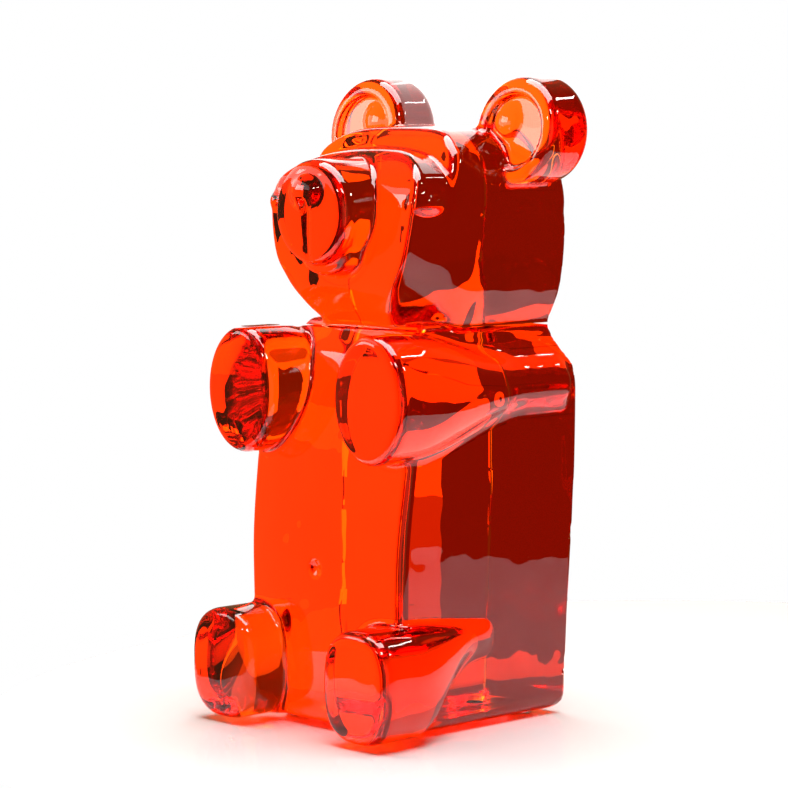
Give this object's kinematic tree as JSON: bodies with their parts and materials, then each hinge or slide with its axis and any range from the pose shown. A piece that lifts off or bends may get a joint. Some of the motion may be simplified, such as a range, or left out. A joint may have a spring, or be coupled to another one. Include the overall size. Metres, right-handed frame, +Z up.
{
  "type": "bear figurine",
  "caption": "Upright clear-cast resin figurine of a seated gummy sweet bear, with a flat back, round ears, a short muzzle and oval limbs, on clear pads under a flat base",
  "frame": {"origin": "on the surface the figurine stands on, under the middle of its bounding box", "axes": "+Z up along the height, +X to the bear's own left, -Y the way the bear faces"},
  "size_m": [0.1238, 0.1159, 0.25],
  "materials": {
    "tinted_resin": "polished clear-cast resin, tinted orange-red all through",
    "clear_rubber": "clear soft bumper pad, satin"
  },
  "bodies": {
    "root": {"torso": "tinted_resin", "head": "tinted_resin", "muzzle": "tinted_resin", "left_ear": "tinted_resin", "right_ear": "tinted_resin", "left_arm": "tinted_resin", "right_arm": "tinted_resin", "left_leg": "tinted_resin", "right_leg": "tinted_resin", "bumper_pads": "clear_rubber"}
  },
  "joints": []
}
